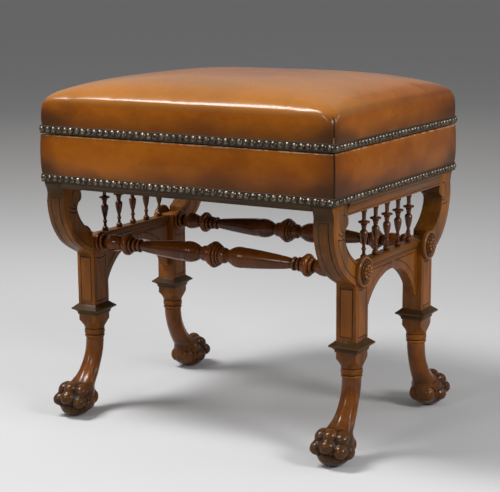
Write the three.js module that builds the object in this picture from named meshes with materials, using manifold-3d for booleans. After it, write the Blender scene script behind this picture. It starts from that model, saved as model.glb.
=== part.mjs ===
// Revolving piano stool: a leather seat that screws up and down in a leather-covered box on two end frames.
// Millimetres, +Z up, origin on the floor under the middle of the seat; +X is the long side, -Y the front.
import * as THREE from 'three';
import { mergeVertices } from 'three/addons/utils/BufferGeometryUtils.js';
import Module from 'manifold-3d';

const wasm = await Module();
wasm.setup();

// Fits: a running or assembly gap, and how far a cutter runs past what it cuts
const gap = 0.3;
const overrun = 2;

// Overall sizes and the levels that everything else hangs on, from the floor up
const boxWidth = 510;
const boxDepth = 418;
const lowerRailTopZ = 287;
const spindleSpace = 78.2;
const topRailHeight = 18.5;
const boxBottomZ = lowerRailTopZ + spindleSpace + topRailHeight + gap;
const boxHeight = 73.5;
const boxTopZ = boxBottomZ + boxHeight;
const seatGap = 2;
const seatBottomZ = boxTopZ + seatGap;

// Upholstery
const leatherThick = 1.6;
const leatherTurnIn = 12;
const bandThick = 1;
const bandHeight = 12;
const nailPitch = 11;
const nailJointWidth = 1.6;
const nailHeadHeight = 3;
const nailRowRise = 6;

// Seat cushion and board
const cushionBulge = 2.2;
const cushionSideHeight = 47.5;
const crownHeight = 38;
const crownFlatness = 4;
const crownSoftness = 0.5;
const cushionCornerRadius = 12;
const seatBoardThick = 20;

// Box carcase
const railThick = 20;
const cornerBlockSide = 42;
const cornerBlockHeight = 52;
const bearerMargin = 2;
const bearerThick = 30;
const cleatSection = 20;
const cleatLength = 170;

// Lifting screw: a right-hand thread with sloping flanks
const screwPitch = 12;
const screwMajorRadius = 14;
const screwMinorRadius = 11;
const threadRootWidth = 6.6;
const threadCrestWidth = 3.6;
const threadClearance = 0.6;
const flankClearance = 0.35;
const threadSteps = 12;
const screwShankRadius = 9;
const liftTurns = 4;
const screwLift = liftTurns * screwPitch;
const screwTailLength = 5.5;
const stopWasherRadius = 23;
const stopWasherThick = 5;
const stopWasherSlack = 1;
const stopPinRadius = 2.5;
const stopPinLength = 40;

// Seat plate and nut plate
const seatPlateLength = 150;
const seatPlateWidth = 110;
const plateThick = 6;
const seatBossRadius = 20;
const seatBossHeight = 8;
const seatStopGap = 0.5;
const nutPlateSide = 112;
const bearerWidth = nutPlateSide + 2 * bearerMargin;
const nutBarrelRadius = 23;
const nutBarrelLength = 34.5;

// Wood screws
const screwHeadRadius = 4.5;
const screwHeadHeight = 3;
const woodScrewRadius = 2.2;
const seatScrewLength = 16;
const nutScrewLength = 22;
const plateScrewInset = 12;

// End frames
const frameThick = 32.5;
const frameSetIn = 4;
const frameInnerX = boxWidth / 2 - frameSetIn - frameThick;
const frameTopZ = boxBottomZ - gap;
const coveFlare = 4;
const coveFootHeight = 6.5;
const lowerRailHeight = 13;
const infillThick = 16.5;
const archSetIn = 1;
const archCrownWall = 14.3;
const archFootRise = 24.5;
const spindlesPerEnd = 5;
const spindleEndSpace = 17.2;
const spindleRadius = 8.5;
const spindleTenonRadius = 2.8;
const spindleTenonLength = 6;
const frameDowelRadius = 5;
const frameDowelLength = 22;
const frameDowelSetIn = 89;

// Posts, collars and C-scrolls
const postDepth = 37.4;
const postSetIn = 95.9;
const postCentreY = boxDepth / 2 - postSetIn;
const collarRise = 10;
const collarHeight = 17.5;
const collarOverhang = 8.4;
const collarWall = 1.2;
const scrollDrop = 28;
const scrollFootZ = lowerRailTopZ - scrollDrop;
const scrollSetIn = 3;
const scrollOuterY = boxDepth / 2 - scrollSetIn;

// Legs: capital, swept shaft and paw
const shaftTopZ = 117.3;
const capitalBeadHeight = 7.3;
const capitalBandHeight = 9.4;
const capitalChamferHeight = 13;
const capitalBandFootZ = shaftTopZ + capitalBeadHeight;
const capitalFootZ = capitalBandFootZ + capitalBandHeight;
const capitalBlockZ = capitalFootZ + capitalChamferHeight;
const collarBottomZ = capitalBlockZ + collarRise;
const capitalRadius = 16.2;
const grooveRadius = 15;
const grooveWidth = 2.4;
const beadRadius = 15.6;
const shaftRadius = 14.5;
const shaftFootRadius = 18;
const shaftFootZ = 44;
const shaftSweep = 34.5;
const pawReach = 52.9;
const pawCentreY = postCentreY + pawReach;
const pawHalfWidth = 28.5;
const pawHalfLength = 43.5;
const pawHeight = 57;

// Roundels, stretchers and the mouldings under the box
const roundelRadius = 23;
const roundelThick = 7;
const stretcherDrop = 10;
const stretcherZ = lowerRailTopZ - stretcherDrop;
const stretcherRadius = 20;
const stretcherTenonRadius = 7;
const stretcherTenonLength = 14;
const mouldingHeight = 8.2;
const mouldingWidth = 16;
const mouldingSetIn = 3;

// Facets
const turnSides = 10;
const smallSides = 8;

// Colours as photographed, with roughness and metalness
const finishes = {
  leather: { color: 0x8a4f1c, roughness: 0.38, metalness: 0 },
  strip: { color: 0x3a2f18, roughness: 0.8, metalness: 0 },
  nail: { color: 0x6f6450, roughness: 0.35, metalness: 1 },
  walnut: { color: 0x70401a, roughness: 0.35, metalness: 0 },
  carved: { color: 0x4a2a16, roughness: 0.3, metalness: 0 },
  deal: { color: 0xa88a5c, roughness: 0.75, metalness: 0 },
  iron: { color: 0x3b3a3a, roughness: 0.55, metalness: 1 },
  steel: { color: 0x8c8c8c, roughness: 0.4, metalness: 1 },
};

const stool = new THREE.Group();

function addPiece(name, geometry, finish) {
  const mesh = new THREE.Mesh(geometry, new THREE.MeshStandardMaterial(finishes[finish]));
  mesh.name = name;
  stool.add(mesh);
  return mesh;
}

// Helpers that turn three.js geometry into solids for cutting and back
function toSolid(geometry) {
  const bare = geometry.clone();
  bare.deleteAttribute('normal');
  bare.deleteAttribute('uv');
  const merged = mergeVertices(bare);
  const triVerts = new Uint32Array(merged.index.array);
  const vertProperties = new Float32Array(merged.attributes.position.array);
  return new wasm.Manifold(new wasm.Mesh({ numProp: 3, vertProperties, triVerts }));
}

function toGeometry(solid) {
  const mesh = solid.getMesh();
  const geometry = new THREE.BufferGeometry();
  geometry.setAttribute('position', new THREE.BufferAttribute(new Float32Array(mesh.vertProperties), 3));
  geometry.setIndex(new THREE.BufferAttribute(new Uint32Array(mesh.triVerts), 1));
  geometry.computeVertexNormals();
  return geometry;
}

function cut(geometry, cutters) {
  return toGeometry(cutters.reduce((solid, cutter) => solid.subtract(toSolid(cutter)), toSolid(geometry)));
}

function join(geometries) {
  const [first, ...rest] = geometries.map(toSolid);
  return toGeometry(rest.reduce((solid, next) => solid.add(next), first));
}

// A box given by its low and high corner
function block(low, high) {
  const size = high.map((value, axis) => value - low[axis]);
  const middle = high.map((value, axis) => (value + low[axis]) / 2);
  return new THREE.BoxGeometry(...size).translate(...middle);
}

// A round bar standing on Z between two levels
function bar(radius, bottomZ, topZ, sides = turnSides) {
  const geometry = new THREE.CylinderGeometry(radius, radius, topZ - bottomZ, sides);
  return geometry.rotateX(Math.PI / 2).translate(0, 0, (topZ + bottomZ) / 2);
}

// The cutter for a hole that a round bar fits with the assembly gap, whatever way its facets turn
function bore(radius, bottomZ, topZ, sides = smallSides) {
  return bar((radius + gap) / Math.cos(Math.PI / sides), bottomZ, topZ, sides);
}

// A turned body about Z: rows of [height, radius] from the bottom up
function turned(rows, sides = turnSides) {
  const ends = [new THREE.Vector2(0, rows[0][0]), new THREE.Vector2(0, rows[rows.length - 1][0])];
  const outline = [ends[0], ...rows.map(([height, radius]) => new THREE.Vector2(radius, height)), ends[1]];
  return new THREE.LatheGeometry(outline, sides).rotateX(Math.PI / 2);
}

// A skin over rings with equal counts of points: capped flat at both ends, or closed into a loop
function loft(rings, looped = false) {
  const count = rings[0].length;
  const positions = [];
  const faces = [];
  rings.forEach((ring) => ring.forEach((point) => positions.push(point.x, point.y, point.z)));
  for (let level = 0; level < rings.length - (looped ? 0 : 1); level += 1) {
    const above = ((level + 1) % rings.length) * count;
    for (let k = 0; k < count; k += 1) {
      const next = (k + 1) % count;
      const [a, b] = [level * count + k, level * count + next];
      faces.push(a, b, above + next, a, above + next, above + k);
    }
  }
  (looped ? [] : [0, rings.length - 1]).forEach((level) => {
    const centre = rings[level].reduce((sum, point) => sum.add(point), new THREE.Vector3());
    centre.divideScalar(count);
    const middle = positions.length / 3;
    positions.push(centre.x, centre.y, centre.z);
    for (let k = 0; k < count; k += 1) {
      const [a, b] = [level * count + k, level * count + ((k + 1) % count)];
      faces.push(...(level === 0 ? [middle, b, a] : [middle, a, b]));
    }
  });
  const geometry = new THREE.BufferGeometry();
  geometry.setAttribute('position', new THREE.Float32BufferAttribute(positions, 3));
  geometry.setIndex(faces);
  geometry.computeVertexNormals();
  return geometry;
}

// One ring of a leg: between a circle (squareness 0) and a rectangle (squareness 1)
function legRing(height, centreY, halfX, halfY, squareness) {
  const ring = [];
  for (let k = 0; k < smallSides; k += 1) {
    const turn = (2 * Math.PI * k) / smallSides;
    const [cos, sin] = [Math.cos(turn), Math.sin(turn)];
    const toEdge = 1 / Math.max(Math.abs(cos), Math.abs(sin));
    const reach = 1 + squareness * (toEdge - 1);
    ring.push(new THREE.Vector3(halfX * cos * reach, centreY + halfY * sin * reach, height));
  }
  return ring;
}

// A wood screw on Z, head down, with the flat of its head at the level given
function woodScrew(headFlatZ, length) {
  const rows = [[-screwHeadHeight, screwHeadRadius], [0, screwHeadRadius], [0, woodScrewRadius],
    [length, woodScrewRadius]];
  return turned(rows, smallSides).translate(0, 0, headFlatZ);
}

// Seat cushion: a crowned pad whose leather runs down round the seat board, with a pocket for the board
const boardHalfX = boxWidth / 2 - leatherThick - gap;
const boardHalfY = boxDepth / 2 - leatherThick - gap;
const seatBandTopZ = seatBottomZ + bandHeight;
const cushionEdgeZ = seatBottomZ + cushionSideHeight;
const boardTopZ = seatBottomZ + seatBoardThick;
const cornerSteps = 3;
const sideSteps = 9;
const sideRowShares = [[0, 0], [0.3, 0.8], [0.65, 1], [1, 0.6]];
const crownRowShares = [0.985, 0.955, 0.9, 0.8, 0.64, 0.42, 0.2];

// A rectangle with round corners, anticlockwise: each corner's arc, then the points of the side after it
function cushionOutline(halfX, halfY) {
  const middles = [[1, 1], [-1, 1], [-1, -1], [1, -1]].map(([x, y]) => (
    [x * (halfX - cushionCornerRadius), y * (halfY - cushionCornerRadius)]));
  const arcs = middles.map(([x, y], quarter) => Array.from({ length: cornerSteps + 1 }, (_, k) => {
    const turn = (Math.PI / 2) * (quarter + k / cornerSteps);
    const [outX, outY] = [cushionCornerRadius * Math.cos(turn), cushionCornerRadius * Math.sin(turn)];
    return new THREE.Vector2(x + outX, y + outY);
  }));
  return arcs.flatMap((arc, quarter) => {
    const [last, next] = [arc[cornerSteps], arcs[(quarter + 1) % arcs.length][0]];
    const side = Array.from({ length: sideSteps - 1 }, (_, k) => (
      last.clone().lerp(next, (k + 1) / sideSteps)));
    return [...arc, ...side];
  });
}

function cushionRing(swell, height) {
  const outline = cushionOutline(boxWidth / 2 + swell, boxDepth / 2 + swell);
  return outline.map((point) => new THREE.Vector3(point.x, point.y, height));
}

function cushionGeometry() {
  const drawnInZ = seatBandTopZ + gap;
  const rings = [cushionRing(0, seatBottomZ)];
  sideRowShares.forEach(([rise, swell]) => {
    rings.push(cushionRing(cushionBulge * swell, drawnInZ + (cushionEdgeZ - drawnInZ) * rise));
  });
  const edge = rings[rings.length - 1];
  const topX = Math.max(...edge.map((point) => point.x));
  const topY = Math.max(...edge.map((point) => point.y));
  crownRowShares.forEach((share) => {
    rings.push(edge.map((point) => {
      const [x, y] = [point.x * share, point.y * share];
      const alongX = 1 - Math.abs(x / topX) ** crownFlatness;
      const alongY = 1 - Math.abs(y / topY) ** crownFlatness;
      return new THREE.Vector3(x, y, cushionEdgeZ + crownHeight * (alongX * alongY) ** crownSoftness);
    }));
  });
  const pocket = block([-boardHalfX - gap, -boardHalfY - gap, seatBottomZ - overrun],
    [boardHalfX + gap, boardHalfY + gap, boardTopZ + gap]);
  return cut(loft(rings), [pocket]);
}

addPiece('seat_cushion', cushionGeometry(), 'leather');

// Lifting screw levels, from the seat plate down
const seatPlateTopZ = seatBottomZ - gap;
const seatPlateBottomZ = seatPlateTopZ - plateThick;
const seatBossBottomZ = seatPlateBottomZ - seatBossHeight;
const nutPlateTopZ = seatBossBottomZ - seatStopGap;
const nutPlateBottomZ = nutPlateTopZ - plateThick;
const nutBarrelBottomZ = nutPlateBottomZ - nutBarrelLength;
const washerTopZ = nutBarrelBottomZ - screwLift - gap;
const washerBottomZ = washerTopZ - stopWasherThick;
const stopPinZ = washerBottomZ - gap - stopPinRadius;
const screwTailZ = stopPinZ - screwTailLength;

// Seat board, with blind holes for the plate's wood screws
function seatScrewPlaces() {
  const x = seatPlateLength / 2 - plateScrewInset;
  const y = seatPlateWidth / 2 - plateScrewInset;
  return [[x, y], [-x, y], [-x, -y], [x, -y]];
}

function seatBoardGeometry() {
  const board = block([-boardHalfX, -boardHalfY, seatBottomZ], [boardHalfX, boardHalfY, boardTopZ]);
  const holeTopZ = seatPlateBottomZ + seatScrewLength + gap;
  const holes = seatScrewPlaces().map(([x, y]) => (
    bore(woodScrewRadius, seatBottomZ - overrun, holeTopZ).translate(x, y, 0)));
  return cut(board, holes);
}

addPiece('seat_board', seatBoardGeometry(), 'deal');

// The dark strips and nail rows round the foot of the seat and of the box
function bandGeometry(bottomZ, innerX, innerY) {
  const outer = block([-innerX - bandThick, -innerY - bandThick, bottomZ],
    [innerX + bandThick, innerY + bandThick, bottomZ + bandHeight]);
  const inner = block([-innerX, -innerY, bottomZ - overrun],
    [innerX, innerY, bottomZ + bandHeight + overrun]);
  return cut(outer, [inner]);
}

// Close-nailed: each head touches the next, round the corners too, so a row is one closed chain
function nailRow(height, faceX, faceY) {
  const rings = [];
  const addRing = (x, y, outX, outY, radius, rise) => rings.push([
    new THREE.Vector3(x, y, height - radius),
    new THREE.Vector3(x, y, height + radius),
    new THREE.Vector3(x + outX * rise, y + outY * rise, height),
  ]);
  const joint = nailJointWidth / 2;
  const runs = [
    { from: [faceX, -faceY], along: [0, 1], out: [1, 0], length: 2 * faceY, heads: boxDepth / nailPitch },
    { from: [faceX, faceY], along: [-1, 0], out: [0, 1], length: 2 * faceX, heads: boxWidth / nailPitch },
    { from: [-faceX, faceY], along: [0, -1], out: [-1, 0], length: 2 * faceY, heads: boxDepth / nailPitch },
    { from: [-faceX, -faceY], along: [1, 0], out: [0, -1], length: 2 * faceX, heads: boxWidth / nailPitch },
  ];
  runs.forEach(({ from, along, out, length, heads }) => {
    const steps = 2 * Math.round(heads);
    for (let k = 0; k < steps; k += 1) {
      const run = (length * k) / steps;
      const [x, y] = [from[0] + along[0] * run, from[1] + along[1] * run];
      const corner = k === 0 ? -1 : 0;
      if (k % 2) addRing(x, y, out[0], out[1], nailPitch / 2, nailHeadHeight);
      else addRing(x, y, out[0] + corner * along[0], out[1] + corner * along[1], joint, joint);
    }
  });
  return loft(rings, true);
}

const bandInnerX = boxWidth / 2 + gap;
const bandInnerY = boxDepth / 2 + gap;

function addTrim(owner, bottomZ) {
  addPiece(`${owner}_nail_band`, bandGeometry(bottomZ, bandInnerX, bandInnerY), 'strip');
  const heads = nailRow(bottomZ + nailRowRise, bandInnerX + bandThick + gap, bandInnerY + bandThick + gap);
  addPiece(`${owner}_nails`, heads, 'nail');
}

addTrim('seat', seatBottomZ);
addTrim('box', boxBottomZ + gap);

// Seat plate: an iron plate with a boss that grips the shank of the screw, and its four wood screws
function seatPlateGeometry() {
  const [halfX, halfY] = [seatPlateLength / 2, seatPlateWidth / 2];
  const plate = block([-halfX, -halfY, seatPlateBottomZ], [halfX, halfY, seatPlateTopZ]);
  const boss = bar(seatBossRadius, seatBossBottomZ, seatPlateBottomZ + plateThick / 2, 2 * smallSides);
  const shankBore = bore(screwShankRadius, seatBossBottomZ - overrun, seatPlateTopZ + overrun, threadSteps);
  const screws = seatScrewPlaces().map(([x, y]) => (
    woodScrew(seatPlateBottomZ, seatScrewLength).translate(x, y, 0)));
  return cut(join([plate, boss, ...screws]), [shankBore]);
}

addPiece('seat_plate', seatPlateGeometry(), 'iron');

// Screw thread: a ridge swept up a right-hand helix; its tap is the same ridge grown by the clearances
const threadBottomZ = screwTailZ + threadRootWidth;
const threadTurns = Math.floor((seatBossBottomZ - threadRootWidth - threadBottomZ) / screwPitch);

function threadRidge(turns, radialGap, flankGap) {
  const rings = [];
  const inner = screwMinorRadius - gap;
  const outer = screwMajorRadius + radialGap;
  const [halfRoot, halfCrest] = [threadRootWidth / 2 + flankGap, threadCrestWidth / 2 + flankGap];
  for (let step = 0; step <= turns * threadSteps; step += 1) {
    const turn = (2 * Math.PI * step) / threadSteps;
    const height = threadBottomZ + (screwPitch * step) / threadSteps;
    const section = [[inner, halfRoot], [outer, halfCrest], [outer, -halfCrest], [inner, -halfRoot]];
    rings.push(section.map(([radius, rise]) => (
      new THREE.Vector3(radius * Math.cos(turn), radius * Math.sin(turn), height + rise))));
  }
  return loft(rings);
}

function screwGeometry() {
  const core = turned([[screwTailZ, screwMinorRadius], [seatBossBottomZ - gap, screwMinorRadius],
    [seatBossBottomZ - gap, screwShankRadius], [seatPlateTopZ, screwShankRadius]], threadSteps);
  const pinHole = bore(stopPinRadius, -stopPinLength / 2, stopPinLength / 2)
    .rotateY(Math.PI / 2).translate(0, 0, stopPinZ);
  return cut(join([core, threadRidge(threadTurns, 0, 0)]), [pinHole]);
}

addPiece('lifting_screw', screwGeometry(), 'steel');

const stopPin = bar(stopPinRadius, -stopPinLength / 2, stopPinLength / 2, smallSides)
  .rotateY(Math.PI / 2).translate(0, 0, stopPinZ);
addPiece('stop_pin', stopPin, 'steel');

function stopWasherGeometry() {
  const disc = bar(stopWasherRadius, washerBottomZ, washerTopZ, 2 * smallSides);
  return cut(disc, [bore(screwMajorRadius + stopWasherSlack, washerBottomZ - overrun, washerTopZ + overrun)]);
}

addPiece('stop_washer', stopWasherGeometry(), 'steel');

// Nut plate: flange with four wood screws in the bearer, barrel through it, cut by the screw's own thread
function nutScrewPlaces() {
  const reach = nutPlateSide / 2 - plateScrewInset;
  return [[reach, reach], [-reach, reach], [-reach, -reach], [reach, -reach]];
}

function nutPlateGeometry() {
  const half = nutPlateSide / 2;
  const flange = block([-half, -half, nutPlateBottomZ], [half, half, nutPlateTopZ]);
  const barrel = bar(nutBarrelRadius, nutBarrelBottomZ, nutPlateBottomZ + plateThick / 2, threadSteps);
  const facetShare = Math.cos(Math.PI / threadSteps);
  const tapping = bar((screwMinorRadius + threadClearance) / facetShare, nutBarrelBottomZ - overrun,
    nutPlateTopZ + overrun, threadSteps);
  const grooveGap = (screwMajorRadius + threadClearance) / facetShare - screwMajorRadius;
  const groove = threadRidge(threadTurns + 2, grooveGap, flankClearance);
  const screws = nutScrewPlaces().map(([x, y]) => (
    woodScrew(-nutPlateTopZ, nutScrewLength).rotateX(Math.PI).translate(x, y, 0)));
  return cut(join([flange, barrel, ...screws]), [tapping, groove]);
}

addPiece('nut_plate', nutPlateGeometry(), 'iron');

// Bearer board across the box under the nut plate, on two cleats
const railFrontY = boxDepth / 2 - leatherThick - gap;
const railSideX = boxWidth / 2 - leatherThick - gap;
const railTopZ = boxTopZ - leatherThick - gap;
const bearerTopZ = nutPlateBottomZ;
const bearerBottomZ = bearerTopZ - bearerThick;
const railInnerY = railFrontY - railThick;
const railInnerX = railSideX - railThick;

function bearerGeometry() {
  const [halfX, halfY] = [bearerWidth / 2, railInnerY - gap];
  const board = block([-halfX, -halfY, bearerBottomZ], [halfX, halfY, bearerTopZ]);
  const barrelBore = bore(nutBarrelRadius, bearerBottomZ - overrun, bearerTopZ + overrun, threadSteps);
  const holeBottomZ = nutPlateTopZ - nutScrewLength - gap;
  const holes = nutScrewPlaces().map(([x, y]) => (
    bore(woodScrewRadius, holeBottomZ, bearerTopZ + overrun).translate(x, y, 0)));
  return cut(board, [barrelBore, ...holes]);
}

addPiece('bearer_board', bearerGeometry(), 'deal');

function cleatGeometry(side) {
  const [near, far] = [side * (railInnerY - gap), side * (railInnerY - gap - cleatSection)];
  return block([-cleatLength / 2, Math.min(near, far), bearerBottomZ - cleatSection],
    [cleatLength / 2, Math.max(near, far), bearerBottomZ]);
}

addPiece('front_cleat', cleatGeometry(-1), 'deal');
addPiece('back_cleat', cleatGeometry(1), 'deal');

// Box rails: the front and back run full width, the side rails stand between them
const frameMiddleX = frameInnerX + frameThick / 2;
const frameDowelX = (railInnerX + frameInnerX + frameThick) / 2;
const frameDowelY = boxDepth / 2 - frameDowelSetIn;

function atFrameDowels(side, makeBar, length) {
  return [-frameDowelY, frameDowelY].map((y) => (
    makeBar(frameDowelRadius, frameTopZ - overrun, frameTopZ + length, smallSides)
      .translate(side * frameDowelX, y, 0)));
}

function longRailGeometry(side) {
  const [near, far] = [side * railFrontY, side * railInnerY];
  return block([-railSideX, Math.min(near, far), boxBottomZ], [railSideX, Math.max(near, far), railTopZ]);
}

function sideRailGeometry(side) {
  const [near, far] = [side * railSideX, side * railInnerX];
  const halfY = railInnerY - gap;
  const rail = block([Math.min(near, far), -halfY, boxBottomZ], [Math.max(near, far), halfY, railTopZ]);
  return cut(rail, atFrameDowels(side, bore, frameDowelLength + gap));
}

addPiece('front_rail', longRailGeometry(-1), 'deal');
addPiece('back_rail', longRailGeometry(1), 'deal');
addPiece('left_rail', sideRailGeometry(-1), 'deal');
addPiece('right_rail', sideRailGeometry(1), 'deal');

// Corner blocks, glued into the corners of the box
function cornerBlock(sideX, sideY) {
  const corner = new THREE.Shape();
  const [x, y] = [sideX * (railInnerX - gap), sideY * (railInnerY - gap)];
  corner.moveTo(x, y);
  corner.lineTo(x - sideX * cornerBlockSide, y);
  corner.lineTo(x, y - sideY * cornerBlockSide);
  const geometry = new THREE.ExtrudeGeometry(corner, { depth: cornerBlockHeight, bevelEnabled: false });
  return geometry.translate(0, 0, boxBottomZ + (railTopZ - boxBottomZ - cornerBlockHeight) / 2);
}

const ends = [['left', -1], ['right', 1]];
const faces = [['front', -1], ['back', 1]];

ends.forEach(([end, sideX]) => {
  faces.forEach(([face, sideY]) => {
    addPiece(`${face}_${end}_corner_block`, cornerBlock(sideX, sideY), 'deal');
  });
});

// Leather of the box, with its top edge turned in over the rails
function boxLeatherGeometry() {
  const [halfX, halfY] = [boxWidth / 2, boxDepth / 2];
  const outer = block([-halfX, -halfY, boxBottomZ + gap], [halfX, halfY, boxTopZ]);
  const inner = block([-halfX + leatherThick, -halfY + leatherThick, boxBottomZ - overrun],
    [halfX - leatherThick, halfY - leatherThick, boxTopZ - leatherThick]);
  const mouth = block([-halfX + leatherTurnIn, -halfY + leatherTurnIn, boxBottomZ - overrun],
    [halfX - leatherTurnIn, halfY - leatherTurnIn, boxTopZ + overrun]);
  return cut(outer, [inner, mouth]);
}

addPiece('box_leather', boxLeatherGeometry(), 'leather');

// Mouldings under the box: a coved outline, pushed along the rail
const scrollInnerShare = 0.38;
const postOuterY = postCentreY + postDepth / 2;
const postInnerY = postCentreY - postDepth / 2;
const scrollReach = scrollOuterY - postOuterY;
const scrollHeadInnerY = postOuterY + scrollReach * scrollInnerShare;

function coveOutline(width, height, flare) {
  const foot = coveFootHeight * (height / topRailHeight);
  const outline = new THREE.Shape();
  outline.moveTo(0, 0);
  outline.lineTo(width, 0);
  outline.lineTo(width, foot);
  outline.quadraticCurveTo(width, height, width + flare, height);
  outline.lineTo(0, height);
  return outline;
}

function coveBar(width, height, flare, length) {
  const settings = { depth: length, bevelEnabled: false, curveSegments: 4 };
  const geometry = new THREE.ExtrudeGeometry(coveOutline(width, height, flare), settings);
  return geometry.translate(0, 0, -length / 2).rotateX(Math.PI / 2).translate(0, 0, frameTopZ - height);
}

function addBoxMoulding(name, turn) {
  const length = 2 * (frameInnerX - gap);
  const width = mouldingWidth;
  const geometry = coveBar(width, mouldingHeight, mouldingSetIn - gap, length);
  addPiece(name, geometry.translate(boxDepth / 2 - mouldingSetIn - width, 0, 0).rotateZ(turn), 'walnut');
}

addBoxMoulding('front_moulding', -Math.PI / 2);
addBoxMoulding('back_moulding', Math.PI / 2);

// End frames
const spindleBottomZ = lowerRailTopZ;
const topRailBottomZ = frameTopZ - topRailHeight;
const spindleHeight = topRailBottomZ - lowerRailTopZ;
const railEndY = postInnerY - gap;
const spindleEndY = postInnerY - spindleEndSpace;

function spindlePlaces() {
  const pitch = (2 * spindleEndY) / (spindlesPerEnd - 1);
  return Array.from({ length: spindlesPerEnd }, (_, k) => k * pitch - spindleEndY);
}

function tenonHoles(x, bottomZ, topZ) {
  return spindlePlaces().map((y) => (
    bore(spindleTenonRadius, bottomZ, topZ).translate(x, y, 0)));
}

function topRailGeometry(side) {
  const length = 2 * (scrollHeadInnerY - gap);
  const rail = coveBar(frameThick, topRailHeight, coveFlare, length).translate(frameInnerX, 0, 0);
  if (side < 0) rail.rotateZ(Math.PI);
  const mortises = tenonHoles(side * frameMiddleX, topRailBottomZ - overrun,
    topRailBottomZ + spindleTenonLength + gap);
  return join([cut(rail, mortises), ...atFrameDowels(side, bar, frameDowelLength)]);
}

function lowerRailGeometry(side) {
  const x = side * frameMiddleX;
  const rail = block([x - infillThick / 2, -railEndY, lowerRailTopZ - lowerRailHeight],
    [x + infillThick / 2, railEndY, lowerRailTopZ]);
  return cut(rail, tenonHoles(x, lowerRailTopZ - spindleTenonLength - gap, lowerRailTopZ + overrun));
}

function archBoardGeometry(side) {
  const topZ = lowerRailTopZ - lowerRailHeight - gap;
  const archRadius = postInnerY - archSetIn;
  const archCentreZ = topZ - archCrownWall - archRadius;
  const archFootZ = collarBottomZ + collarHeight + archFootRise;
  const footY = Math.sqrt(archRadius ** 2 - (archFootZ - archCentreZ) ** 2);
  const footTurn = Math.atan2(archFootZ - archCentreZ, footY);
  const outline = new THREE.Shape();
  outline.moveTo(railEndY, archFootZ);
  outline.lineTo(railEndY, topZ);
  outline.lineTo(-railEndY, topZ);
  outline.lineTo(-railEndY, archFootZ);
  outline.absarc(0, archCentreZ, archRadius, Math.PI - footTurn, footTurn, true);
  const settings = { depth: infillThick, bevelEnabled: false, curveSegments: turnSides };
  const board = new THREE.ExtrudeGeometry(outline, settings).translate(0, 0, -infillThick / 2);
  return board.rotateX(Math.PI / 2).rotateZ(Math.PI / 2).translate(side * frameMiddleX, 0, 0);
}

// Spindle: rows of [share of height, share of radius], from the foot up
const spindleRowShares = [
  [0, 0.56], [0.07, 0.56], [0.16, 0.3], [0.2, 0.42], [0.235, 0.3], [0.5, 0.69], [0.58, 0.36],
  [0.66, 0.5], [0.68, 1], [0.715, 1], [0.75, 0.4], [1, 0.45],
];

function spindleGeometry(x, y) {
  const height = spindleHeight - 2 * gap;
  const rows = spindleRowShares.map(([rise, reach]) => [gap + height * rise, spindleRadius * reach]);
  const tenon = [[-spindleTenonLength, spindleTenonRadius], [gap, spindleTenonRadius]];
  const tenonTopZ = spindleHeight + spindleTenonLength;
  const topTenon = [[gap + height, spindleTenonRadius], [tenonTopZ, spindleTenonRadius]];
  return turned([...tenon, ...rows, ...topTenon], smallSides).translate(x, y, spindleBottomZ);
}

// C-scroll: shares of its reach from the post and of its height, round the outside and back up the inside
const scrollOuterShares = [[0, 0], [0.08, 0.03], [0.34, 0.105], [0.6, 0.217], [0.76, 0.33], [0.89, 0.473],
  [0.935, 0.61], [0.973, 0.786], [1, 0.882]];
const scrollInnerShares = [[0.346, 0.794], [0.373, 0.746], [0.481, 0.682], [0.474, 0.633], [0.4, 0.537],
  [0.299, 0.445], [0.164, 0.361], [0, 0.281]];

function scrollGeometry(sideX, sideY) {
  const height = frameTopZ - scrollFootZ;
  const start = postOuterY + gap;
  const reach = scrollOuterY - start;
  const place = ([along, rise]) => new THREE.Vector2(start + reach * along, scrollFootZ + height * rise);
  const outline = new THREE.Shape([
    ...scrollOuterShares.map(place),
    place([1, 1]),
    place([scrollInnerShare, 1]),
    place([scrollInnerShare, 0.858]),
    ...scrollInnerShares.map(place),
  ]);
  const settings = { depth: frameThick, bevelEnabled: false };
  const board = new THREE.ExtrudeGeometry(outline, settings).translate(0, 0, -frameThick / 2);
  board.rotateX(Math.PI / 2).rotateZ(Math.PI / 2);
  if (sideY < 0) board.rotateZ(Math.PI);
  return board.translate(sideX * frameMiddleX, 0, 0);
}

// Leg: the post, its capital and the swept shaft are one loft; the paw is knuckles and a pad joined to it
function shaftCentreY(height) {
  const drop = Math.max(0, shaftTopZ - height) / (shaftTopZ - shaftFootZ);
  return postCentreY + shaftSweep * drop ** 2;
}

const shaftRowShares = [[0.3, 0], [0.55, 0.1], [0.78, 0.4], [1, 1], [1.2, 1]];

function legLoft() {
  const [halfX, halfY] = [frameThick / 2, postDepth / 2];
  const round = (height, radius) => legRing(height, postCentreY, radius, radius, 0);
  const rings = [
    legRing(lowerRailTopZ, postCentreY, halfX, halfY, 1),
    legRing(capitalBlockZ, postCentreY, halfX, halfY, 1),
    legRing((capitalBlockZ + capitalFootZ) / 2, postCentreY, capitalRadius, (capitalRadius + halfY) / 2, 0.4),
    round(capitalFootZ, capitalRadius),
    round(capitalFootZ - grooveWidth / 2, grooveRadius),
    round(capitalFootZ - grooveWidth, capitalRadius),
    round(capitalBandFootZ, capitalRadius),
    round((capitalBandFootZ + shaftTopZ) / 2, beadRadius),
    round(shaftTopZ, shaftRadius),
  ];
  shaftRowShares.forEach(([drop, swell]) => {
    const height = shaftTopZ + (shaftFootZ - shaftTopZ) * drop;
    const radius = shaftRadius + (shaftFootRadius - shaftRadius) * swell;
    rings.push(legRing(height, shaftCentreY(height), radius, radius, 0));
  });
  return loft(rings.reverse());
}

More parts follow.
